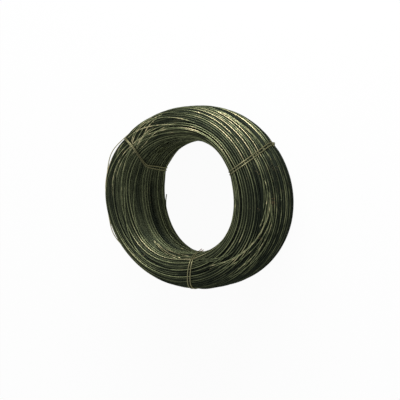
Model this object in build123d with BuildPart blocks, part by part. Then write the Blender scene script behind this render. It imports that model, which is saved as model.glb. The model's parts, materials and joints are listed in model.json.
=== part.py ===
"""Coil of black annealed steel wire, lying flat on one end, held by three doubled tie wires.

Frame: +Z is the coil's axis, the origin is at the middle of the end that it lies on, millimetres.
"""

import os
from math import cos, radians, sin

from build123d import *

# Driving dimensions of the coil
coil_outer_diameter = 290.0
winding_build = 55.0
coil_width = 138.0
wire_diameter = 1.5

# The section is a rounded oblong of this power, in facets that turn by this angle from wall to end
squareness = 2.75
corner_facet_angle = 15.0
corner_facets = 4

# The turns that show on each end cover this share of its flat, in grooves this share of a wire deep
end_turns_share = 0.6
groove_depth_share = 0.4

# Tie wires: two wires side by side round the section, joined where their ends are twisted together
tie_wire_diameter = 1.8
wire_sides = 6
pair_spacing_share = 2.6
seat_gap = 0.2
tie_recess = 0.7
twist_turns = 5
twist_turn_share = 1.4
twist_width_share = 1.15

# The turns are pressed in under each tie and swell back to full size over this run
waist_run = 8.0
cut_overrun = 1.6

# Each tie's angle round the coil at mid-width, and the angle at which it leans from upright
right_tie_angle = 32.75
right_lean_angle = -14.0
left_tie_angle = 148.0
left_lean_angle = -17.0
bottom_tie_angle = -89.5
bottom_lean_angle = 17.0

# Derived sizes
outer_radius = coil_outer_diameter / 2
half_build = winding_build / 2
middle_radius = outer_radius - half_build
pair_spacing = pair_spacing_share * tie_wire_diameter
twist_radius = twist_width_share * pair_spacing / 2
twist_pitch = twist_turn_share * tie_wire_diameter
waist_depth = seat_gap + tie_wire_diameter + tie_recess
waist_floor = pair_spacing + tie_wire_diameter + 2 * seat_gap
tie_inset = waist_depth - seat_gap - tie_wire_diameter / 2
tie_places = {
    "tie_right": (right_tie_angle, right_lean_angle),
    "tie_left": (left_tie_angle, left_lean_angle),
    "tie_bottom": (bottom_tie_angle, bottom_lean_angle),
}


def section_plane(angle, lean, aside=0.0):
    """The plane of a cross-section at mid-width: x runs outwards and y up with the given lean.

    Aside moves it level round the coil, so that sections beside each other meet the ends alike.
    """
    along = Vector(cos(radians(angle)), sin(radians(angle)), 0)
    around = Vector(-along.Y, along.X, 0)
    upright = Vector(0, 0, 1) * cos(radians(lean)) + around * sin(radians(lean))
    origin = Vector(0, 0, coil_width / 2) + around * aside
    return Plane(origin=origin, x_dir=along, z_dir=along.cross(upright))


def corner_facet_lines(lean):
    """The wall, the corner's facets and the end: which way each faces, and its reach from the middle."""
    half_height = coil_width / 2 / cos(radians(lean))
    power = squareness / (squareness - 1)
    turns = [number * corner_facet_angle for number in range(corner_facets + 1)] + [90]
    for turn in map(radians, turns):
        yield turn, ((half_build * cos(turn)) ** power + (half_height * sin(turn)) ** power) ** (1 / power)


def corner_points(inset, lean):
    """The upper outer corner from the wall to the end, drawn in by inset."""
    lines = [(turn, reach - inset) for turn, reach in corner_facet_lines(lean)]
    points = []
    for (turn, reach), (next_turn, next_reach) in zip(lines, lines[1:]):
        across = reach * sin(next_turn) - next_reach * sin(turn)
        up = next_reach * cos(turn) - reach * cos(next_turn)
        points.append((across / sin(next_turn - turn), up / sin(next_turn - turn)))
    return points


def end_ridges(flat, height):
    """One ridge for each turn that shows along the upper end, from the outer side to the bore."""
    count = int(2 * flat * end_turns_share / wire_diameter)
    first = count * wire_diameter / 2
    points = [(first, height)]
    for number in range(count):
        valley = first - (number + 0.5) * wire_diameter
        points.append((valley, height - groove_depth_share * wire_diameter))
        points.append((valley - wire_diameter / 2, height))
    return points


def section_points(inset, lean=0.0, ridged=False):
    """The closed section from the outer wall over the upper end, down the bore and back."""
    corner = corner_points(inset, lean)
    ridges = end_ridges(*corner[-1]) if ridged else []
    upper = corner + ridges + [(-x, y) for x, y in reversed(corner)]
    lower = [(-x, -y) for x, y in upper]
    return [(middle_radius + x, y) for x, y in upper + lower]


def tie_waist(angle, lean):
    """What a tie has pressed in: all that stands outside the pinched section beside it."""
    floor_half = waist_floor / 2
    waist_half = floor_half + waist_run
    with BuildPart() as waist:
        for away in (-waist_half, waist_half):
            with BuildSketch(section_plane(angle, lean, away)):
                with Locations((middle_radius, 0)):
                    Rectangle(4 * half_build, 2 * coil_width)
        loft(ruled=True)
        for away, inset in ((-waist_half, -cut_overrun), (-floor_half, waist_depth),
                            (floor_half, waist_depth), (waist_half, -cut_overrun)):
            with BuildSketch(section_plane(angle, lean, away)):
                with BuildLine():
                    Polyline(*section_points(inset, lean), close=True)
                make_face()
        loft(ruled=True, mode=Mode.SUBTRACT)
    return waist.part


def twist_sections(angle, lean):
    """Planes and radii along the twist, which lies between the two wires on the lower outer shoulder."""
    plane = section_plane(angle, lean)
    first, last = [Vector(middle_radius + x, -y) for x, y in corner_points(waist_depth, lean)[:2]]
    along = (last - first).normalized()
    lift = seat_gap + twist_radius * cos(radians(180 / wire_sides))
    middle = (first + last) / 2 + Vector(-along.Y, along.X) * lift
    for number in range(2 * twist_turns + 1):
        spot = middle + along * (number - twist_turns) * twist_pitch / 2
        origin = plane.from_local_coords(spot)
        ahead = plane.from_local_coords(spot + along) - origin
        groove = 0 if number % 2 else groove_depth_share * tie_wire_diameter
        yield Plane(origin=origin, x_dir=plane.z_dir, z_dir=ahead), twist_radius - groove


# The coil: one turned solid with its bore, its end turns and a waist under each tie
waists = [tie_waist(angle, lean) for angle, lean in tie_places.values()]

with BuildPart() as wire_coil:
    with BuildSketch(section_plane(0, 0)):
        with BuildLine():
            Polyline(*section_points(0, ridged=True), close=True)
        make_face()
    revolve(axis=Axis.Z)
    for waist in waists:
        add(waist, mode=Mode.SUBTRACT)

os.makedirs("parts", exist_ok=True)
wire_coil.part.label = "wire_coil"
export_step(wire_coil.part, "parts/wire_coil.step")

# The ties: each a pair of closed wires in its waist, joined by their twist
for name, (angle, lean) in tie_places.items():
    with BuildPart() as tie:
        for side in (-pair_spacing / 2, pair_spacing / 2):
            with BuildLine(section_plane(angle, lean, side)) as route:
                start = (outer_radius - tie_inset, 0)
                Polyline(start, *section_points(tie_inset, lean), close=True)
            with BuildSketch(Plane(origin=route.line @ 0, z_dir=route.line % 0)):
                RegularPolygon(tie_wire_diameter / 2, wire_sides)
            sweep(transition=Transition.RIGHT)
        for plane, radius in twist_sections(angle, lean):
            with BuildSketch(plane):
                RegularPolygon(radius, wire_sides)
        loft(ruled=True)
    tie.part.label = name
    export_step(tie.part, f"parts/{name}.step")
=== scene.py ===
"""Coil of black annealed wire: its wound turns, loose strands, tie wires, finishes and stage.

Metres, in the part's own frame: +Z is the coil's axis and the floor is at z = 0. A place on the coil is an
angle round the axis, a share round the section (from the middle of the outer wall, up over the upper end
and down through the bore) and a depth under the coil's skin.
"""

import json
from collections import namedtuple
from math import atan2, cos, pi, radians, sin, tau

import bpy
import numpy as np
from bpy.props import FloatProperty, FloatVectorProperty, IntProperty, PointerProperty
from mathutils import Matrix, Vector


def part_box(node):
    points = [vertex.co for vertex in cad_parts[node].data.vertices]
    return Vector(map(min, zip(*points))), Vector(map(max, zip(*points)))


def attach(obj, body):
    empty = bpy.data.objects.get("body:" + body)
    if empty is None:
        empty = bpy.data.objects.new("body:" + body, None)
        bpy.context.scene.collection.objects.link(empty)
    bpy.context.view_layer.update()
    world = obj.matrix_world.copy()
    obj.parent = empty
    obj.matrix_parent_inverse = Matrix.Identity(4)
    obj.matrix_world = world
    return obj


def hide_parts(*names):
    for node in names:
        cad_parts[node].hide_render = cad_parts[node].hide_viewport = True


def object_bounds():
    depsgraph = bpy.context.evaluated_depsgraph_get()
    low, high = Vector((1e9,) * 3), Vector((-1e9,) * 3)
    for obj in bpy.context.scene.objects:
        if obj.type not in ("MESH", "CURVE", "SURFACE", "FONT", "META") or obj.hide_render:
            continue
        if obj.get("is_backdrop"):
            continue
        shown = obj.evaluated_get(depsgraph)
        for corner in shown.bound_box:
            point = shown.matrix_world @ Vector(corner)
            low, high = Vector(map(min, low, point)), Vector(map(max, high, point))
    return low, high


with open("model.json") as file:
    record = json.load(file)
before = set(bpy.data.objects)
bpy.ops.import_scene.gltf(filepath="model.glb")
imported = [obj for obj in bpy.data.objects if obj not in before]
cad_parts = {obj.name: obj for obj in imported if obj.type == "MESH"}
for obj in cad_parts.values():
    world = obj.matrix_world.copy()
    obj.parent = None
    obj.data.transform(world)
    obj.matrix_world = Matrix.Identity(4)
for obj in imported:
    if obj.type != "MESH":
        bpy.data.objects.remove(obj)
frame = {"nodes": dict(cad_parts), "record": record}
cad_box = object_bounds()
coil_low, coil_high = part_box("wire_coil")
bore_mount = next(mount for mount in frame["record"]["mounts"] if mount["name"] == "bore")

bl_info = {
    "name": "Wire Coil",
    "version": (1, 0, 0),
    "blender": (4, 5, 0),
    "location": "View3D > Sidebar > Wire Coil",
    "description": "Dresses a coil of annealed wire with its turns, loose strands, ties and finishes",
    "category": "Object",
}

# How the coil has settled out of round:
# order, swell of the outside and its angle, swell of the bore and its angle
SETTLING = (
    (1, 0.0021, radians(-18), 0.0021, radians(162)),
    (2, 0.0041, radians(-64), 0.0003, radians(157)),
    (3, 0.0012, radians(-165), 0.0003, radians(40)),
    (4, 0.0013, radians(-25), 0.0023, radians(-147)),
)

# Where a tie strays from its plane: share round the section, stray, and what is left of the pair's spacing
TIE_BENDS = {
    "tie_right": ((0.07, 0.0007, 1.0), (0.20, -0.0003, 1.0), (0.50, 0.0, 0.9), (0.85, 0.0, 1.0),
                  (0.94, 0.0025, 1.0)),
    "tie_left": ((0.10, -0.0060, 0.9), (0.20, -0.0068, 0.38), (0.27, -0.0031, 0.38), (0.33, 0.0042, 0.38),
                 (0.42, 0.0111, 0.5), (0.51, 0.0047, 1.0), (0.66, -0.0037, 0.8), (0.85, 0.0, 1.0)),
    "tie_bottom": ((0.10, -0.0025, 1.0), (0.18, -0.0022, 1.0), (0.26, 0.0007, 1.0), (0.32, 0.0046, 0.8),
                   (0.42, 0.0028, 0.7), (0.60, 0.0, 1.0), (0.85, 0.0, 1.0)),
}

# Shares to either side over which a tie's bends are smoothed
BEND_SHARES = np.linspace(-0.03, 0.03, 7)

# Share round the section at which the ties are twisted: the lower outer shoulder
TWIST_SHARE = 0.86

# How sharply a tie's wires come together at the twist, their tone, and their darkest share of its colour
TWIST_EASE = 6
TIE_TONE = 0.5
TIE_DARK_SHARE = 0.7

# A tie's cut tails, in wires: first distance aside and how far they splay, first lift and how far they rise
TAIL_ASIDE = 1.6
TAIL_SPLAY = 1.4
TAIL_LIFT = 0.6
TAIL_RISE = 1.2
TAIL_TONE = 0.8

# Furrows between bundles: first and last angle, share at each, half width, depth in wires
FURROWS = (
    (radians(20), radians(85), -0.020, 0.008, 0.0030, 3.8),
    (radians(304), radians(348), 0.170, 0.112, 0.0028, 2.4),
    (radians(165), radians(255), 0.520, 0.505, 0.0065, 1.2),
    (radians(195), radians(265), 0.290, 0.265, 0.0016, 1.8),
    (radians(235), radians(275), 0.385, 0.330, 0.0016, 2.2),
    (radians(60), radians(120), 0.290, 0.310, 0.0018, 1.8),
    (radians(100), radians(150), 0.380, 0.410, 0.0020, 1.2),
    (radians(270), radians(330), 0.245, 0.225, 0.0018, 1.6),
    (radians(-20), radians(30), 0.170, 0.160, 0.0016, 1.4),
)

# Bundles that cross over the rest:
# first and last angle, share at each, number of strands, their spacing in wires, tone; the high tones of
# the two lower-right bundles paint glints on them
BUNDLES = (
    (radians(296), radians(362), 0.230, 0.105, 4, 3.2, 0.80),
    (radians(306), radians(350), 0.120, 0.060, 3, 3.4, 0.77),
    (radians(104), radians(142), 0.255, 0.305, 3, 1.5, 0.92),
    (radians(102), radians(140), 0.190, 0.275, 4, 2.0, 0.85),
    (radians(90), radians(150), 0.360, 0.480, 6, 2.3, 0.65),
    (radians(232), radians(274), 0.410, 0.350, 3, 2.2, 1.00),
    (radians(24), radians(76), 0.004, 0.062, 4, 1.6, 0.82),
    (radians(280), radians(326), 0.310, 0.240, 3, 3.0, 0.60),
    (radians(335), radians(368), 0.155, 0.115, 1, 1.0, 0.90),
)

# How a bundle's strands differ: scatter of their middles, and ranges of their span and tone
BUNDLE_SCATTER = radians(9)
BUNDLE_SPANS = (0.8, 1.1)
BUNDLE_TONES = (0.8, 1.0)

# Single crossing strands: every other one lies in a crowd by the left tie, the rest lie anywhere
CROWD_ANGLE = radians(125)
CROWD_SPREAD = radians(18)
CROWD_SHARES = (0.14, 0.42)
SINGLE_SHARES = (-0.12, 0.55)
SINGLE_SPANS = (radians(50), radians(110))
SINGLE_DRIFTS = (0.004, 0.010)
SINGLE_TONES = (0.6, 1.0)

# A crossing strand, in wires: depth at its ends, lift at its middle, extra depth under a tie
STRAND_DEPTH = 2.8
STRAND_LIFT = 0.1
STRAND_PINCH = 0.5

# How much a crossing strand's tone varies in glints
STRAND_GLINT = 0.12

# The slack turn: first and last angle, share, tone, depth along the rim and at its ends in wires
SLACK_ANGLES = (radians(120), radians(232))
SLACK_SHARE = 0.16
SLACK_TONE = 0.9
SLACK_DEPTH = 0.2
SLACK_END_DEPTH = 2.4

# Where the slack turn bows away from the rim: angle, spread of angle, how far
SLACK_BOWS = (
    (radians(152), radians(11), 0.0060),
    (radians(205), radians(9), 0.0046),
)

# Cut ends in the bore: first and last angle, share, how far the tip springs from the wall, how bare it is
WIRE_ENDS = (
    (radians(218), radians(180), 0.655, 0.0050, 0.2),
    (radians(262), radians(276), 0.482, 0.0052, 1.3),
    (radians(264), radians(280), 0.470, 0.0030, 1.3),
)

# Depth in wires at which a cut end comes from under its neighbours, the share of its length over which it
# rises, the depth at which it then lies, its tone, and the shares between which its metal gets bare
END_START_DEPTH = 1.6
END_RISE_SHARE = 1 / 3
END_DEPTH = 0.5
END_TONE = 0.5
BARE_SHARES = (9 / 12, 11 / 12)

# Places rubbed by handling and given painted highlights: angle, spread of angle, share, spread of share,
# amount
RUBBED_AND_HIGHLIT = (
    (radians(51), radians(47), 0.115, 0.155, 1.0),
    (radians(76), radians(13), 0.20, 0.09, 0.9),
    (radians(230), radians(32), 0.25, 0.12, 0.4),
    (radians(322), radians(26), 0.15, 0.12, 0.8),
    (radians(8), radians(14), 0.08, 0.035, 0.8),
    (radians(-5), radians(40), 0.02, 0.12, 0.7),
    (radians(278), radians(34), 0.26, 0.16, 0.3),
    (radians(58), radians(26), -0.055, 0.04, 1.0),
)

# Middle of the patch of rust on the outer wall, and the distances from it between which it fades
RUST_PATCH = (0.142, 0.030, 0.080)
RUST_FADE = (0.015, 0.06)

# Scales of the finishes' noise, to the metre
OXIDE_PATCHES = 38.0
OXIDE_SPECKS = 420.0
OXIDE_GRAIN = 1500.0
DEEP_CLOUDS = 60.0

# Shares of the oxide's colour that deep turns have, painted dark as shade, darkest and lightest
DEEP_SHARES = (0.1, 0.5)

# Stretches of the section, each a piece of its own: name, first and last share round it
STRETCHES = (
    ("outer_wall", -0.17, 0.17),
    ("upper_end", 0.17, 0.33),
    ("bore", 0.33, 0.67),
    ("lower_end", 0.67, 0.83),
)

# A layer of turns: its mesh, how its turns lie in wires, how bright they are,
# what is added to their tone as painted shade where they are rubbed and highlit, and how far elsewhere the
# outer turns are painted darker and the under turns lighter
Layer = namedtuple("Layer", (
    "name", "sides", "steps", "spacing", "wall_share", "straying", "bundling", "depth", "unevenness",
    "brightness", "wear", "dulling"))

# Gaps and depths of the turns, in wires
LEAST_GAP = 1.02
PROUD_DEPTH = 1.1
DEEPEST_TURN = 3.9
INNER_DEPTH = 4.4

# How far a turn lies from its highest to its lowest place: mean and spread
UNEVEN_MEAN = 0.5
UNEVEN_SPREAD = 0.42

# Lengths over which a turn's lie and tone change, in turns, and how many neighbours drift alike
SHORT_RUN = 0.12
UNEVEN_RUN = 0.16
LONG_RUN = 0.5
DRIFT_RUN = 0.07
DRIFT_NEIGHBOURS = 1.6

# Where the painted shade on the outer wall and the outer wall itself start, and the run to where they are
# full, in half builds outwards
WALL_SHADE_START = 0.25
WALL_START = 0.5
FULL_RUN = 0.4

# Tone of a turn, from dark at 0 to bright at 1, and what adds to it: sunk turns are painted darker than
# proud ones, as shade, and proud turns get a painted highlight where they are rubbed
PLAIN_TONE = 0.59
PROUD_TONE = 0.12
RUBBED_HIGHLIGHT_TONE = 0.75

# How much the tone varies along a turn, slowly and in glints, and how much more on the outer wall
TONE_SPREAD = 0.11
WALL_TONE_SPREAD = 0.15
GLINT_SPREAD = 0.035
WALL_GLINT_SPREAD = 0.085

# What the painted shade on the outer wall and in furrows takes from the tone, and the depth of a furrow
# painted fully dark, in wires
WALL_SHADE_DARKENING = 0.6
FURROW_PAINTED_SHADE = 0.8
FULLY_SHADED_FURROW = 1.5

# Sides and steps of the meshes, and samples of the section
ROUND_SIDES = 8
CROSSING_SIDES = 6
CROSSING_STEPS = 60
SLACK_STEPS = 120
END_STEPS = 40
TIE_STEPS = 480
TAIL_STEPS = 12
INNER_SIDES = 48
INNER_STEPS = 144
OUTLINE_STEPS = 4000
SHARE_STEPS = 720

# Rounds in which turns that lie too close are moved apart, and the gap at which doubled points are merged
SPREADING_ROUNDS = 80
MERGE_GAP = 0.0001


class CoilShape(bpy.types.PropertyGroup):
    """Size of the coil, and how its turns lie."""

    outer_radius: FloatProperty(
        name="Outer radius", description="From the axis to the outer wall",
        default=coil_high.x, subtype="DISTANCE", unit="LENGTH")
    bore_radius: FloatProperty(
        name="Bore radius", description="From the axis to the wall of the bore",
        default=bore_mount["dims"]["r_mm"] / 1000, subtype="DISTANCE", unit="LENGTH")
    width: FloatProperty(
        name="Width", description="Between the two ends",
        default=coil_high.z - coil_low.z, subtype="DISTANCE", unit="LENGTH")
    squareness: FloatProperty(
        name="Squareness", description="Power of the section's rounded oblong", default=2.75)
    wire: FloatProperty(
        name="Wire", description="Diameter of the wound wire", default=0.0015,
        subtype="DISTANCE", unit="LENGTH")
    outer_spacing: FloatProperty(
        name="Outer spacing", description="Between outer turns, in wires", default=2.35)
    wall_share: FloatProperty(
        name="Wall share", description="Outer turns on a wall for each one on as much of an end",
        default=0.45)
    under_spacing: FloatProperty(
        name="Under spacing", description="Between the turns under them, in wires", default=1.12)
    looseness: FloatProperty(
        name="Looseness", description="How far outer turns stray sideways, in wires", default=0.25)
    unevenness: FloatProperty(
        name="Unevenness", description="How deep outer turns lie, in wires", default=0.9)
    bundling: FloatProperty(
        name="Bundling", description="How far bundles of outer turns stray together, in wires", default=0.3)
    crossings: IntProperty(
        name="Crossings", description="Strands that cross over their neighbours", default=20)
    seed: IntProperty(name="Seed", description="Chooses the lie of the turns", default=7)


class TieShape(bpy.types.PropertyGroup):
    """Size of the tie wires and of the waists under them."""

    wire: FloatProperty(
        name="Wire", description="Diameter of the tie wire", default=0.0018,
        subtype="DISTANCE", unit="LENGTH")
    spacing: FloatProperty(
        name="Spacing", description="Between the two wires of a tie", default=0.0047,
        subtype="DISTANCE", unit="LENGTH")
    waist_depth: FloatProperty(
        name="Waist depth", description="How far a tie presses the turns in", default=0.0014,
        subtype="DISTANCE", unit="LENGTH")
    floor_depth: FloatProperty(
        name="Floor depth", description="How much further it presses on the lower end", default=0.0014,
        subtype="DISTANCE", unit="LENGTH")
    waist_run: FloatProperty(
        name="Waist run", description="Over which the turns swell back", default=0.011,
        subtype="DISTANCE", unit="LENGTH")
    twist_length: FloatProperty(
        name="Twist length", description="Along which the two wires are twisted", default=0.014,
        subtype="DISTANCE", unit="LENGTH")
    twist_turns: FloatProperty(
        name="Twist turns", description="Turns of the two wires round each other", default=2.5)


class CoilFinish(bpy.types.PropertyGroup):
    """Colours of the wire."""

    dark: FloatVectorProperty(
        name="Oxide", description="Darkest oxide", default=(0.0185, 0.0235, 0.0165), size=3,
        subtype="COLOR")
    light: FloatVectorProperty(
        name="Thin oxide", description="Oxide worn thin", default=(0.246, 0.274, 0.142), size=3,
        subtype="COLOR")
    # The rubbed colour is also the colour of the painted highlights on lit strands
    rubbed_and_highlit: FloatVectorProperty(
        name="Rubbed oxide", description="Oxide rubbed by handling", default=(0.545, 0.485, 0.285), size=3,
        subtype="COLOR")
    tie: FloatVectorProperty(
        name="Tie", description="Tie wire rubbed by pulling", default=(0.235, 0.225, 0.125), size=3,
        subtype="COLOR")
    bare: FloatVectorProperty(
        name="Cut end", description="Bare metal of a cut end", default=(0.62, 0.45, 0.38), size=3,
        subtype="COLOR")
    rust: FloatVectorProperty(
        name="Rust", description="Specks of rust", default=(0.190, 0.140, 0.075), size=3, subtype="COLOR")
    gloss: FloatVectorProperty(
        name="Gloss", description="Tint of the gloss at the wires' edges", default=(0.40, 0.42, 0.34),
        size=3, subtype="COLOR")


class StageShape(bpy.types.PropertyGroup):
    """Camera, lamp and floor."""

    view_turn: FloatProperty(
        name="View turn", description="Of the camera from the coil's axis, sideways",
        default=radians(30.1), subtype="ANGLE", unit="ROTATION")
    view_tilt: FloatProperty(
        name="View tilt", description="Of the camera from the coil's axis, upwards",
        default=radians(2.6), subtype="ANGLE", unit="ROTATION")
    distance: FloatProperty(
        name="Distance", description="From the camera to the coil", default=3.17,
        subtype="DISTANCE", unit="LENGTH")
    lens: FloatProperty(name="Lens", description="Focal length in millimetres", default=180)
    aim_right: FloatProperty(
        name="Aim right", description="Of the coil's middle", default=0.0020,
        subtype="DISTANCE", unit="LENGTH")
    aim_up: FloatProperty(
        name="Aim up", description="Of the coil's middle", default=-0.0055,
        subtype="DISTANCE", unit="LENGTH")
    key_power: FloatProperty(
        name="Key power", description="Of the main lamp in watts", default=30, unit="POWER")
    key_direction: FloatVectorProperty(
        name="Key direction", description="From the coil to the main lamp",
        default=(0.12, 0.88, 0.44), size=3, subtype="DIRECTION")
    key_distance: FloatProperty(
        name="Key distance", description="From the coil to the main lamp", default=1.5,
        subtype="DISTANCE", unit="LENGTH")
    key_size: FloatVectorProperty(
        name="Key size", description="Length and width of the main lamp",
        default=(1.4, 0.25), size=2, unit="LENGTH")
    ambient: FloatProperty(
        name="Ambient", description="Light from all round on dull surfaces", default=0.3)
    floor_size: FloatProperty(
        name="Floor size", description="Length of the floor's sides", default=12,
        subtype="DISTANCE", unit="LENGTH")
    floor_white: FloatProperty(
        name="Floor white", description="How much of the floor shows plain white", default=0.96,
        subtype="FACTOR")


class Section:
    """The coil's section: a closed rounded oblong, sampled evenly along its length."""

    def __init__(self, shape):
        self.half_build = (shape.outer_radius - shape.bore_radius) / 2
        self.middle = shape.bore_radius + self.half_build
        turn = np.linspace(0, tau, OUTLINE_STEPS + 1)
        across = self.half_build * np.sign(np.cos(turn)) * np.abs(np.cos(turn)) ** (2 / shape.squareness)
        up = shape.width / 2 * np.sign(np.sin(turn)) * np.abs(np.sin(turn)) ** (2 / shape.squareness)
        run = np.concatenate(([0], np.cumsum(np.hypot(np.diff(across), np.diff(up)))))
        self.length = run[-1]
        self.shares = np.linspace(0, 1, SHARE_STEPS + 1)
        self.across = np.interp(self.shares * self.length, run, across)
        self.up = np.interp(self.shares * self.length, run, up)
        outline = np.stack((self.across, self.up), -1)[:-1]
        ahead = np.roll(outline, -1, 0) - np.roll(outline, 1, 0)
        ahead = np.concatenate((ahead, ahead[:1]))
        ahead /= np.linalg.norm(ahead, axis=1, keepdims=True)
        self.out, self.rise = ahead[:, 1], -ahead[:, 0]

    def at(self, share):
        """Distance from the middle of the section outwards and up, and the skin's outward direction."""
        columns = (self.across, self.up, self.out, self.rise)
        return [np.interp(np.mod(share, 1), self.shares, column) for column in columns]


class Tie:
    """The line of a tie over the coil, read from the plane that its CAD solid lies in."""

    def __init__(self, node):
        mesh = frame["nodes"][node].data
        points = np.empty(3 * len(mesh.vertices))
        mesh.vertices.foreach_get("co", points)
        points = points.reshape(-1, 3)
        normal = np.linalg.svd(points - points.mean(0), full_matrices=False)[2][2]
        along = np.cross((0, 0, 1), normal)
        along *= np.sign(along @ points.mean(0)) / np.linalg.norm(along)
        self.node = node
        self.angle = atan2(along[1], along[0])
        self.around = np.array((-along[1], along[0], 0))
        normal *= -np.sign(normal @ self.around)
        self.slope = normal[2] / -(normal @ self.around)
        self.bends = np.array(TIE_BENDS[node])

    def bend(self, share, column):
        """How far the tie strays, or what is left of its pair's spacing, smoothed over the bends."""
        spots = np.mod(np.asarray(share)[..., None] + BEND_SHARES, 1)
        return np.interp(spots, self.bends[:, 0], self.bends[:, column], period=1).mean(-1)

    def angle_at(self, share, radius, up, aside=0.0):
        """Angle round the axis at which the tie passes, or a line beside it."""
        return self.angle + np.arcsin((up * self.slope + self.bend(share, 1) + aside) / radius)


def short_way(difference, whole):
    """The difference between two places on a closed line of this length, the short way round."""
    return np.mod(difference + whole / 2, whole) - whole / 2


class Winding:
    """Turns angles, shares round the section and depths into places."""

    def __init__(self, shape, tie_shape):
        self.shape = shape
        self.tie_shape = tie_shape
        self.section = Section(shape)
        self.ties = [Tie(node) for node in sorted(frame["nodes"]) if node.startswith("tie_")]
        self.rng = np.random.default_rng(shape.seed)
        self.glint_rng = np.random.default_rng(shape.seed + 2)

    def pressed(self, angle, share):
        """How much of a tie's pressing a place feels, from 0 to 1."""
        across, up, _, _ = self.section.at(share)
        radius = self.section.middle + across
        most = np.zeros(np.shape(angle))
        for tie in self.ties:
            apart = short_way(angle - tie.angle_at(share, radius, up), tau)
            most = np.maximum(most, np.exp(-(apart * radius / self.tie_shape.waist_run) ** 2))
        return most

    def waist(self, share):
        """How deep the turns are pressed right under a tie."""
        rise = self.section.at(share)[3]
        return self.tie_shape.waist_depth + self.tie_shape.floor_depth * np.maximum(-rise, 0)

    def worn_and_highlit(self, angle, share):
        """How much a place is scuffed by handling and given a painted highlight, from 0 to 1."""
        most = np.zeros(np.shape(angle))
        for middle, spread, middle_share, share_spread, amount in RUBBED_AND_HIGHLIT:
            aside = short_way(angle - middle, tau) / spread
            across = short_way(share - middle_share, 1) / share_spread
            most = np.maximum(most, amount * np.exp(-aside ** 2 - across ** 4))
        return most

    def beyond(self, start, share):
        """0 up to this distance outwards from the middle of the section, and 1 a run beyond it."""
        across = self.section.at(share)[0] / self.section.half_build
        return np.clip((across - start) / FULL_RUN, 0, 1)

    def wall_shade(self, angle, share):
        """How much painted shade lies on a place: it darkens the outer wall, less where it is scuffed and
        highlit.
        """
        return self.beyond(WALL_SHADE_START, share) * (1 - self.worn_and_highlit(angle, share))

    def furrow(self, angle, share):
        """How deep the furrows are at a place, in wires."""
        depth = np.zeros(np.shape(share))
        for first, last, first_share, last_share, half_width, wires in FURROWS:
            along = np.clip(np.mod(angle - first, tau) / (last - first), 0, 1)
            ends = np.sqrt(np.sin(pi * along))
            aside = short_way(share - first_share - (last_share - first_share) * along, 1)
            across = np.exp(-(aside * self.section.length / half_width) ** 2)
            depth = np.maximum(depth, wires * ends * across)
        return depth

    def points(self, angle, share, depth):
        """Places at these angles, shares and depths, on the coil as it has settled."""
        across, up, out, rise = self.section.at(share)
        across = across - depth * out
        up = up - depth * rise
        outer = np.clip(across / self.section.half_build, -1, 1) / 2 + 0.5
        radius = self.section.middle + across
        for order, swell, lean, bore_swell, bore_lean in SETTLING:
            radius = radius + outer * swell * np.cos(order * angle - lean)
            radius = radius + (1 - outer) * bore_swell * np.cos(order * angle - bore_lean)
        height = np.maximum(up + self.shape.width / 2, self.shape.wire / 2)
        return np.stack((radius * np.cos(angle), radius * np.sin(angle), height), -1)

    def wander(self, count, run):
        """Smooth random numbers of spread 1, which close on themselves and change over about run places."""
        waves = np.fft.rfft(self.rng.standard_normal(count))
        waves *= np.exp(-2 * (pi * run * np.fft.rfftfreq(count)) ** 2)
        noise = np.fft.irfft(waves, count)
        return noise / noise.std()

    def glints(self, count):
        """Random numbers of spread 1 that change within a few places: short bright and dull stretches."""
        noise = self.glint_rng.standard_normal(count)
        return (noise + np.roll(noise, 1)) / np.sqrt(2)

    def drift(self, turns, steps):
        """Smooth random numbers of spread 1 that neighbouring turns share, a row for each turn."""
        waves = np.fft.rfft2(self.rng.standard_normal((turns, steps)))
        waves *= np.exp(-2 * (pi * DRIFT_NEIGHBOURS * np.fft.fftfreq(turns)) ** 2)[:, None]
        waves *= np.exp(-2 * (pi * DRIFT_RUN * steps * np.fft.rfftfreq(steps)) ** 2)
        noise = np.fft.irfft2(waves, (turns, steps))
        along = np.arange(steps) / steps
        noise = (1 - along) * noise + along * np.roll(noise, -1, 0)
        return noise / noise.std()

    def shares(self, layer):
        """Shares along one continuous wire that works its way round the section, a row for each turn."""
        wire_share = self.shape.wire / self.section.length
        crowd = layer.wall_share + (1 - layer.wall_share) * np.abs(self.section.rise)
        turns = round(crowd[:-1].mean() / (layer.spacing * wire_share))
        count = turns * layer.steps
        crowd = np.concatenate(([0], np.cumsum(crowd[1:] + crowd[:-1])))
        even = np.interp(np.arange(count) / count, crowd / crowd[-1], self.section.shares)
        stray = self.wander(count, SHORT_RUN * layer.steps) + self.wander(count, LONG_RUN * layer.steps)
        rows = (even + layer.straying * wire_share * stray).reshape(turns, layer.steps)
        rows = rows + layer.bundling * wire_share * self.drift(turns, layer.steps)
        return spread_turns(rows, LEAST_GAP * wire_share)

    def wind(self, layer):
        """A layer's places and tones along its wire, and the mean share of each turn."""
        rows = self.shares(layer)
        share = rows.ravel()
        angle = np.tile(np.arange(layer.steps) * tau / layer.steps, len(rows))
        uneven = UNEVEN_MEAN + UNEVEN_SPREAD * self.wander(len(share), UNEVEN_RUN * layer.steps)
        furrow = self.furrow(angle, share)
        lying = layer.unevenness * np.clip(uneven, 0, 1) + furrow
        lying = np.minimum(lying, DEEPEST_TURN - layer.depth)
        pressed = self.pressed(angle, share)
        depth = (layer.depth + lying * (1 - pressed)) * self.shape.wire + self.waist(share) * pressed
        proud = np.clip(PROUD_DEPTH - layer.depth - lying, 0, 1)
        tone = self.tone(layer, angle, share, proud, furrow)
        return self.points(angle, share, depth), tone, rows.mean(1)

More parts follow.
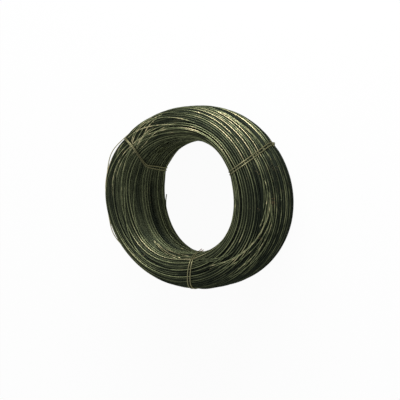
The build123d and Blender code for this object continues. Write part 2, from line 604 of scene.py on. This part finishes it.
    def tone(self, layer, angle, share, proud, furrow):
        """How bright a layer's turns are painted: more where they stand proud or are scuffed and given
        painted highlights, less as painted shade in furrows and on the outer wall.
        """
        worn_and_highlit = self.worn_and_highlit(angle, share)
        wall = self.beyond(WALL_START, share)
        varied = (TONE_SPREAD + WALL_TONE_SPREAD * wall) * self.wander(len(share), LONG_RUN * layer.steps)
        tone = PLAIN_TONE + PROUD_TONE * proud + varied
        tone = tone + worn_and_highlit * (RUBBED_HIGHLIGHT_TONE * proud + layer.wear) - layer.dulling * (1 - worn_and_highlit)
        tone = tone + (GLINT_SPREAD + WALL_GLINT_SPREAD * wall) * self.glints(len(share))
        # Painted shade darkens the outer wall
        tone = np.clip(tone, 0, 1) * (1 - WALL_SHADE_DARKENING * self.wall_shade(angle, share))
        # Furrows are painted darker as shade
        return layer.brightness * tone * (1 - FURROW_PAINTED_SHADE * np.clip(furrow / FULLY_SHADED_FURROW, 0, 1))


def spread_turns(shares, least):
    """Moves turns apart that lie nearer than least; each row is a turn, and the last meets the first."""
    for _ in range(SPREADING_ROUNDS):
        gaps = np.roll(shares, -1, 0) - shares
        gaps[-1] += 1
        short = np.maximum(least - gaps, 0) / 2
        shares = shares + np.roll(short, 1, 0) - short
    return shares


def tube(points, upward, radius, sides):
    """Vertices and faces of a capped tube along points; upward is never along the tube."""
    ahead = np.gradient(points, axis=0)
    ahead /= np.linalg.norm(ahead, axis=1, keepdims=True)
    first = upward - ahead * (ahead @ upward)[:, None]
    first /= np.linalg.norm(first, axis=1, keepdims=True)
    second = np.cross(ahead, first)
    turn = np.arange(sides) * tau / sides
    ring = first[:, None] * np.cos(turn)[:, None] + second[:, None] * np.sin(turn)[:, None]
    vertices = (points[:, None] + radius * ring).reshape(-1, 3)
    start = np.arange(len(points) - 1)[:, None] * sides
    here = np.arange(sides)
    beside = (here + 1) % sides
    quads = np.stack((start + here, start + beside, start + sides + beside, start + sides + here), -1)
    last = (len(points) - 1) * sides
    faces = quads.reshape(-1, 4).tolist()
    faces.append(list(range(sides - 1, -1, -1)))
    faces.append(list(range(last, last + sides)))
    return vertices, faces


def wire_object(name, strands, radius, sides, finish, slot, *nodes):
    """One piece made of wires; each strand is its points, its tone and a direction across it."""
    vertices, faces, tones = [], [], []
    count = 0
    for points, tone, upward in strands:
        new_vertices, new_faces = tube(points, np.asarray(upward, float), radius, sides)
        vertices.append(new_vertices)
        faces.extend([[count + corner for corner in face] for face in new_faces])
        tones.append(np.repeat(np.broadcast_to(tone, len(points)), sides))
        count += len(new_vertices)
    mesh = bpy.data.meshes.new(name)
    mesh.from_pydata(np.concatenate(vertices), [], faces)
    mesh.attributes.new("tone", "FLOAT", "POINT").data.foreach_set("value", np.concatenate(tones))
    mesh.shade_smooth()
    mesh.materials.append(finish)
    piece = bpy.data.objects.new(name, mesh)
    bpy.context.scene.collection.objects.link(piece)
    return keep_piece(piece, slot, *nodes)


def keep_piece(piece, slot, *nodes):
    """Fixes a finished piece to the coil's body and hides the solids it stands for."""
    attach(piece, "root")
    if nodes:
        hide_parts(*nodes)
    return piece


class Value:
    """A number in a material; what is worked out with it becomes Math nodes."""

    def __init__(self, finish, socket):
        self.finish = finish
        self.socket = socket

    def maths(self, operation, *terms):
        """The result of a Math node on these terms."""
        return self.finish.node("ShaderNodeMath", {"operation": operation}, dict(enumerate(terms)))

    def __add__(self, other):
        return self.maths("ADD", self, other)

    def __radd__(self, other):
        return self.maths("ADD", other, self)

    def __sub__(self, other):
        return self.maths("SUBTRACT", self, other)

    def __rsub__(self, other):
        return self.maths("SUBTRACT", other, self)

    def __mul__(self, other):
        return self.maths("MULTIPLY", self, other)

    def __rmul__(self, other):
        return self.maths("MULTIPLY", other, self)

    def at_least(self, other):
        """The larger of the two."""
        return self.maths("MAXIMUM", self, other)


class Finish:
    """A material's or a world's nodes, built one by one."""

    def __init__(self, tree):
        self.tree = tree
        tree.nodes.clear()

    def node(self, kind, settings=None, sockets=None, output=0):
        """Adds a node with its settings, then its sockets' values or links, and gives one output."""
        made = self.tree.nodes.new(kind)
        for setting, value in (settings or {}).items():
            setattr(made, setting, value)
        for name, value in (sockets or {}).items():
            if isinstance(value, Value):
                self.tree.links.new(value.socket, made.inputs[name])
            else:
                made.inputs[name].default_value = value
        return Value(self, made.outputs[output]) if made.outputs else None

    def noise(self, place, scale, detail=2.0):
        """Cloudy noise from 0 to 1 over the piece's own coordinates."""
        return self.node("ShaderNodeTexNoise", {}, {"Vector": place, "Scale": scale, "Detail": detail})

    def ease(self, value, low, high):
        """A smooth step from 0 at low to 1 at high."""
        sockets = {"Value": value, "From Min": low, "From Max": high}
        return self.node("ShaderNodeMapRange", {"interpolation_type": "SMOOTHSTEP"}, sockets)

    def mix(self, factor, first, second):
        """A colour between two colours."""
        settings = {"data_type": "RGBA", "clamp_factor": True}
        return self.node("ShaderNodeMix", settings, {0: factor, 6: first, 7: second}, 2)


def new_finish(name):
    """An empty material to build a finish in."""
    material = bpy.data.materials.new(name)
    material.use_nodes = True
    return material, Finish(material.node_tree)


def colour(values):
    """A colour with its alpha."""
    return (*values, 1.0)


def wire_finish(name, dark, light, worn_and_highlit, shades):
    """Black annealed oxide, scuffed thin in places, with specks of rust, most of them in one patch; the
    tone also paints highlights and shade on it.
    """
    material, finish = new_finish(name)
    place = finish.node("ShaderNodeTexCoord", output=3)
    tone = finish.node("ShaderNodeAttribute", {"attribute_name": "tone"}, output=2)
    patches = finish.noise(place, OXIDE_PATCHES, 3.0)
    specks = finish.noise(place, OXIDE_SPECKS)
    grain = finish.noise(place, OXIDE_GRAIN)
    ends = {0: place, 1: RUST_PATCH}
    away = finish.node("ShaderNodeVectorMath", {"operation": "DISTANCE"}, ends, "Value")
    patch = 1 - finish.ease(away, *RUST_FADE)
    # From the dark oxide to the lighter oxide, following the tone, which carries painted highlights and
    # painted shade
    rubbed_and_highlit = finish.ease(0.72 * tone + 0.16 * patches + 0.12 * specks, 0.3, 0.95)
    rusty = finish.ease(0.6 * specks + 0.4 * patches + 0.07 * patch, 0.64, 0.69)
    # High tones take the rubbed colour as a painted highlight
    thin = finish.mix(finish.ease(tone, 0.72, 1.0), colour(light), colour(worn_and_highlit))
    base = finish.mix(rubbed_and_highlit, colour(dark), thin)
    base = finish.mix(rusty, base, colour(shades.rust))
    base = finish.mix(finish.ease(tone, 1.1, 1.6), base, colour(shades.bare))
    bump = finish.node("ShaderNodeBump", {}, {"Strength": 0.06, "Distance": 0.0002, "Height": grain})
    shader = finish.node("ShaderNodeBsdfPrincipled", {}, {
        "Base Color": base,
        "Metallic": 0.9 - 0.7 * rusty,
        "Roughness": 0.50 - 0.14 * rubbed_and_highlit + 0.1 * rusty,
        "Specular Tint": colour(shades.gloss),
        "Normal": bump,
    })
    finish.node("ShaderNodeOutputMaterial", {}, {"Surface": shader})
    return material


def shadow_finish(shades):
    """The matt look of turns deep inside the coil, painted dark as shade."""
    material, finish = new_finish("deep_turns_painted_shade")
    place = finish.node("ShaderNodeTexCoord", output=3)
    cloud = finish.noise(place, DEEP_CLOUDS, 3.0)
    base = finish.mix(cloud, *[colour(share * shades.dark) for share in DEEP_SHARES])
    shader = finish.node("ShaderNodeBsdfPrincipled", {}, {
        "Base Color": base, "Metallic": 0.3, "Roughness": 0.6 + 0.2 * cloud})
    finish.node("ShaderNodeOutputMaterial", {}, {"Surface": shader})
    return material


def coil_finish(shades):
    """The wound wire's material, made once."""
    made = bpy.data.materials.get("annealed_wire_oxide")
    return made or wire_finish("annealed_wire_oxide", shades.dark, shades.light, shades.rubbed_and_highlit, shades)


def the_winding(context):
    """The coil's winding for the settings of the scene."""
    return Winding(context.scene.coil_shape, context.scene.tie_shape)


class WIRECOIL_OT_inner_turns(bpy.types.Operator):
    """Makes the mass of turns inside the coil, painted dark as shade"""

    bl_idname = "wirecoil.inner_turns"
    bl_label = "Inner turns"

    def execute(self, context):
        winding = the_winding(context)
        section = winding.section
        depth = INNER_DEPTH * winding.shape.wire
        bpy.ops.object.select_all(action="DESELECT")
        bpy.ops.mesh.primitive_circle_add(vertices=INNER_SIDES, radius=section.half_build / 2)
        piece = context.object
        piece.name = piece.data.name = "inner_turns"
        bpy.ops.object.mode_set(mode="EDIT")
        bpy.ops.mesh.select_all(action="SELECT")
        bpy.ops.transform.rotate(value=pi / 2, orient_axis="X", center_override=(0, 0, 0))
        bpy.ops.transform.translate(value=(section.middle, 0, winding.shape.width / 2))
        bpy.ops.mesh.spin(
            steps=INNER_STEPS, angle=tau, center=(0, 0, 0), axis=(0, 0, 1), use_auto_merge=True)
        bpy.ops.mesh.select_all(action="SELECT")
        bpy.ops.mesh.remove_doubles(threshold=MERGE_GAP)
        bpy.ops.object.mode_set(mode="OBJECT")
        for vertex in piece.data.vertices:
            across = Vector(vertex.co.xy).length - section.middle
            up = vertex.co.z - winding.shape.width / 2
            angle = atan2(vertex.co.y, vertex.co.x)
            share = atan2(up, across) / tau
            deeper = depth + float(winding.waist(share) * winding.pressed(np.array(angle), share))
            vertex.co = winding.points(angle, share, deeper)
        bpy.ops.object.mode_set(mode="EDIT")
        bpy.ops.mesh.select_all(action="SELECT")
        bpy.ops.mesh.normals_make_consistent(inside=False)
        bpy.ops.object.mode_set(mode="OBJECT")
        bpy.ops.object.shade_smooth()
        piece.data.materials.append(shadow_finish(context.scene.coil_finish))
        keep_piece(piece, "annealed_wire", "wire_coil")
        return {"FINISHED"}


class WIRECOIL_OT_wound_turns(bpy.types.Operator):
    """Winds the two outermost layers of turns, in a piece for each stretch of the section"""

    bl_idname = "wirecoil.wound_turns"
    bl_label = "Wound turns"

    def execute(self, context):
        winding = the_winding(context)
        shape = winding.shape
        finish = coil_finish(context.scene.coil_finish)
        for layer in self.layers(shape):
            points, tone, middles = winding.wind(layer)
            for stretch, first, last in STRETCHES:
                strands = []
                inside = (middles - first) % 1 < last - first
                edges = np.flatnonzero(np.diff(np.concatenate(([0], inside, [0])).astype(int)))
                for start, stop in edges.reshape(-1, 2) * layer.steps:
                    along = np.arange(start, stop + 1) % len(points)
                    strands.append((points[along], tone[along], (0, 0, 1)))
                wire_object(f"{layer.name}_turns_{stretch}", strands, shape.wire / 2, layer.sides, finish,
                            "annealed_wire", "wire_coil")
        return {"FINISHED"}

    def layers(self, shape):
        """The two layers, the lower one first."""
        # The under turns are painted darker than the outer ones, as shade in the gaps between them
        under = Layer(
            name="under", sides=5, steps=144, spacing=shape.under_spacing, wall_share=1.0, straying=0.3,
            bundling=0.0, depth=1.5, unevenness=0.5, brightness=0.52, wear=-0.3, dulling=-0.28)
        outer = Layer(
            name="outer", sides=ROUND_SIDES, steps=192, spacing=shape.outer_spacing,
            wall_share=shape.wall_share, straying=shape.looseness, bundling=shape.bundling, depth=0.1,
            unevenness=shape.unevenness, brightness=1.0, wear=-0.1, dulling=0.09)
        return under, outer


class WIRECOIL_OT_ties(bpy.types.Operator):
    """Makes the doubled tie wires with their twists"""

    bl_idname = "wirecoil.ties"
    bl_label = "Tie wires"

    def execute(self, context):
        winding = the_winding(context)
        shape = winding.tie_shape
        shades = context.scene.coil_finish
        finish = wire_finish("tie_wire_oxide", TIE_DARK_SHARE * shades.tie, shades.tie, shades.tie, shades)
        for tie in winding.ties:
            strands = [self.wire(winding, tie, side) for side in (-1, 1)]
            strands += [self.tail(winding, tie, side) for side in (-1, 1)]
            wire_object(f"{tie.node}_wires", strands, shape.wire / 2, ROUND_SIDES, finish,
                        "tie_wire", tie.node)
        return {"FINISHED"}

    def lay(self, winding, tie, share, aside, lift):
        """Places along a tie: aside is from its line and lift from the turns that it lies on."""
        across, up, _, _ = winding.section.at(share)
        angle = tie.angle_at(share, winding.section.middle + across, up, aside)
        return winding.points(angle, share, winding.waist(share) - lift)

    def wire(self, winding, tie, side):
        """One of the two wires, once round the section, twisted with the other at one place."""
        shape = winding.tie_shape
        share = np.linspace(TWIST_SHARE - 0.5, TWIST_SHARE + 0.5, TIE_STEPS + 1)
        along = (share - TWIST_SHARE) * winding.section.length / shape.twist_length
        twisted = np.clip(1 + TWIST_EASE * (0.5 - np.abs(along)), 0, 1)
        turn = tau * shape.twist_turns * along + (0 if side > 0 else pi)
        reach = shape.wire / 2
        aside = (1 - twisted) * side * shape.spacing / 2 * tie.bend(share, 2)
        aside = aside + twisted * reach * np.cos(turn)
        lift = reach + twisted * reach * (1 + np.sin(turn))
        return self.lay(winding, tie, share, aside, lift), TIE_TONE, tie.around

    def tail(self, winding, tie, side):
        """A cut end that sticks out beside the twist."""
        shape = winding.tie_shape
        along = np.linspace(0, 1, TAIL_STEPS + 1)
        share = TWIST_SHARE + (1 + along) / 2 * shape.twist_length / winding.section.length
        aside = side * shape.wire * (TAIL_ASIDE + TAIL_SPLAY * along ** 2)
        lift = shape.wire * (TAIL_LIFT + TAIL_RISE * along ** 2)
        return self.lay(winding, tie, share, aside, lift), TAIL_TONE, tie.around


class WIRECOIL_OT_crossing_strands(bpy.types.Operator):
    """Lays strands that rise between their neighbours, cross over them and go under again"""

    bl_idname = "wirecoil.crossing_strands"
    bl_label = "Crossing strands"

    def execute(self, context):
        winding = the_winding(context)
        shape = winding.shape
        rng = np.random.default_rng(shape.seed + 1)
        strands = [self.single(winding, rng, number) for number in range(shape.crossings)]
        for bundle in BUNDLES:
            strands += self.bundle(winding, rng, *bundle)
        finish = coil_finish(context.scene.coil_finish)
        wire_object("crossing_strands", strands, shape.wire / 2, CROSSING_SIDES, finish, "annealed_wire")
        return {"FINISHED"}

    def single(self, winding, rng, number):
        """A strand by itself; those with even numbers lie in the crowd."""
        crowded = number % 2 == 0
        middle = rng.normal(CROWD_ANGLE, CROWD_SPREAD) if crowded else rng.uniform(0, tau)
        share = rng.uniform(*(CROWD_SHARES if crowded else SINGLE_SHARES))
        span = rng.uniform(*SINGLE_SPANS)
        drift = rng.uniform(*SINGLE_DRIFTS) * rng.choice((-1, 1)) / winding.section.length
        return self.strand(winding, middle, span, share, drift, rng.uniform(*SINGLE_TONES))

    def bundle(self, winding, rng, first, last, first_share, last_share, count, spacing, tone):
        """Strands that cross over the rest side by side."""
        for number in range(count):
            middle = (first + last) / 2 + rng.uniform(-BUNDLE_SCATTER, BUNDLE_SCATTER)
            span = (last - first) * rng.uniform(*BUNDLE_SPANS)
            aside = (number - (count - 1) / 2) * spacing * winding.shape.wire / winding.section.length
            share = (first_share + last_share) / 2 + aside
            drift = (last_share - first_share) / 2
            yield self.strand(winding, middle, span, share, drift, tone * rng.uniform(*BUNDLE_TONES))

    def strand(self, winding, middle, span, share, drift, tone):
        """One strand over a stretch of the coil, highest at its middle."""
        along = np.linspace(-0.5, 0.5, CROSSING_STEPS + 1)
        angle = middle + span * along
        share = share + drift * np.sin(pi * along)
        pressed = winding.pressed(angle, share)
        above = 1 - (2 * np.abs(along)) ** 4
        wires = STRAND_DEPTH - (STRAND_DEPTH + STRAND_LIFT) * above + STRAND_PINCH * pressed
        depth = winding.shape.wire * wires + winding.waist(share) * pressed
        tone = tone * (1 + STRAND_GLINT * winding.glints(len(along)))
        return winding.points(angle, share, depth), tone, (0, 0, 1)


class WIRECOIL_OT_loose_ends(bpy.types.Operator):
    """Lays the slack turn at the left and the wire's ends in the bore"""

    bl_idname = "wirecoil.loose_ends"
    bl_label = "Loose ends"

    def execute(self, context):
        winding = the_winding(context)
        shape = winding.shape
        finish = coil_finish(context.scene.coil_finish)
        pieces = {
            "slack_turn": [self.slack_turn(winding)],
            "wire_ends": [self.end(winding, *end) for end in WIRE_ENDS],
        }
        for name, strands in pieces.items():
            wire_object(name, strands, shape.wire / 2, ROUND_SIDES, finish, "annealed_wire")
        return {"FINISHED"}

    def slack_turn(self, winding):
        """A strand that bows away from the rim in places and hugs it between and beyond."""
        angle = np.linspace(*SLACK_ANGLES, SLACK_STEPS + 1)
        bow = sum(reach * np.exp(-((angle - middle) / spread) ** 2) for middle, spread, reach in SLACK_BOWS)
        under = np.linspace(-1, 1, len(angle)) ** 6
        depth = winding.shape.wire * (SLACK_DEPTH + (SLACK_END_DEPTH - SLACK_DEPTH) * under)
        points = winding.points(angle, np.full(len(angle), SLACK_SHARE), depth)
        outward = np.stack((np.cos(angle), np.sin(angle), np.zeros(len(angle))), -1)
        return points + bow[:, None] * outward, SLACK_TONE, (0, 0, 1)

    def end(self, winding, first, last, share, spring, bareness):
        """A cut end of wire that lies along the bore and springs away from it at the tip."""
        along = np.linspace(0, 1, END_STEPS + 1)
        angle = first + (last - first) * along
        wires = np.interp(along, (0, END_RISE_SHARE), (END_START_DEPTH, END_DEPTH))
        depth = winding.shape.wire * wires - spring * along ** 3
        tone = END_TONE + bareness * np.interp(along, BARE_SHARES, (0, 1))
        return winding.points(angle, np.full(len(along), share), depth), tone, (0, 0, 1)


class WIRECOIL_OT_stage(bpy.types.Operator):
    """Sets the floor, the world, the lamp and the camera"""

    bl_idname = "wirecoil.stage"
    bl_label = "Stage"

    def execute(self, context):
        shape = context.scene.stage_shape
        centre = Vector((0, 0, context.scene.coil_shape.width / 2))
        self.lay_floor(shape)
        self.light_world(context, shape)
        self.add_lamp(shape, centre)
        self.aim_camera(context, shape, centre)
        return {"FINISHED"}

    def lay_floor(self, shape):
        """A pale floor that shows white to the camera and keeps a soft shadow."""
        bpy.ops.object.select_all(action="DESELECT")
        bpy.ops.mesh.primitive_plane_add(size=shape.floor_size, location=(0, 0, 0))
        floor = bpy.context.object
        floor.name = floor.data.name = "floor"
        material, finish = new_finish("pale_floor")
        shade = finish.node("ShaderNodeBsdfDiffuse", {}, {"Color": (0.9, 0.9, 0.9, 1.0)})
        white = finish.node("ShaderNodeEmission", {}, {"Color": (1.0, 1.0, 1.0, 1.0), "Strength": 1.0})
        factor = shape.floor_white * seen_ray(finish)
        mixed = finish.node("ShaderNodeMixShader", {}, {0: factor, 1: shade, 2: white})
        finish.node("ShaderNodeOutputMaterial", {}, {"Surface": mixed})
        floor.data.materials.append(material)
        floor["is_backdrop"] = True

    def light_world(self, context, shape):
        """Even light all round, white where it is seen."""
        world = context.scene.world or bpy.data.worlds.new("studio")
        context.scene.world = world
        world.use_nodes = True
        finish = Finish(world.node_tree)
        strength = shape.ambient + (1 - shape.ambient) * seen_ray(finish)
        sockets = {"Color": (1.0, 1.0, 1.0, 1.0), "Strength": strength}
        light = finish.node("ShaderNodeBackground", {}, sockets)
        finish.node("ShaderNodeOutputWorld", {}, {"Surface": light})

    def add_lamp(self, shape, centre):
        """A long soft lamp that faces the coil."""
        direction = Vector(shape.key_direction).normalized()
        facing = direction.to_track_quat("Z", "Y").to_euler()
        bpy.ops.object.light_add(
            type="AREA", location=centre + direction * shape.key_distance, rotation=facing)
        lamp = bpy.context.object
        lamp.name = lamp.data.name = "strip_lamp"
        lamp.data.shape = "RECTANGLE"
        lamp.data.size, lamp.data.size_y = shape.key_size
        lamp.data.energy = shape.key_power

    def aim_camera(self, context, shape, centre):
        """The camera looks along the coil's axis, turned and tilted, with +Y upwards."""
        turn, tilt = shape.view_turn, shape.view_tilt
        back = Vector((sin(turn) * cos(tilt), sin(tilt), cos(turn) * cos(tilt)))
        right = Vector((cos(turn), 0, -sin(turn)))
        upward = back.cross(right)
        aim = centre + right * shape.aim_right + upward * shape.aim_up
        facing = Matrix((right, upward, back)).transposed().to_euler()
        bpy.ops.object.camera_add(location=aim + back * shape.distance, rotation=facing)
        camera = bpy.context.object
        camera.data.lens = shape.lens
        context.scene.camera = camera
        context.scene.view_settings.view_transform = "Standard"


def seen_ray(finish):
    """1 for rays that see the background straight, in gloss or through glass, and else 0."""
    seen = finish.node("ShaderNodeLightPath", output="Is Camera Ray")
    for kind in ("Is Glossy Ray", "Is Transmission Ray"):
        seen = seen.at_least(finish.node("ShaderNodeLightPath", output=kind))
    return seen


class WIRECOIL_PT_panel(bpy.types.Panel):
    """Lists the steps that make the coil's pieces"""

    bl_label = "Wire Coil"
    bl_space_type = "VIEW_3D"
    bl_region_type = "UI"
    bl_category = "Wire Coil"

    def draw(self, context):
        for step in STEPS:
            self.layout.operator(step.bl_idname)


STEPS = (
    WIRECOIL_OT_stage,
    WIRECOIL_OT_inner_turns,
    WIRECOIL_OT_wound_turns,
    WIRECOIL_OT_crossing_strands,
    WIRECOIL_OT_loose_ends,
    WIRECOIL_OT_ties,
)
GROUPS = {
    "coil_shape": CoilShape,
    "tie_shape": TieShape,
    "coil_finish": CoilFinish,
    "stage_shape": StageShape,
}
CLASSES = (*GROUPS.values(), *STEPS, WIRECOIL_PT_panel)


def register():
    for kind in CLASSES:
        bpy.utils.register_class(kind)
    for name, kind in GROUPS.items():
        setattr(bpy.types.Scene, name, PointerProperty(type=kind))


def unregister():
    for name in GROUPS:
        delattr(bpy.types.Scene, name)
    for kind in reversed(CLASSES):
        bpy.utils.unregister_class(kind)


def main():
    register()
    bpy.ops.wirecoil.stage()
    bpy.ops.wirecoil.inner_turns()
    bpy.ops.wirecoil.wound_turns()
    bpy.ops.wirecoil.crossing_strands()
    bpy.ops.wirecoil.loose_ends()
    bpy.ops.wirecoil.ties()
    boxes = {"cad": cad_box, "visual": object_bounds()}
    {name: [list(corner) for corner in box] for name, box in boxes.items()}


if __name__ == "__main__":
    main()
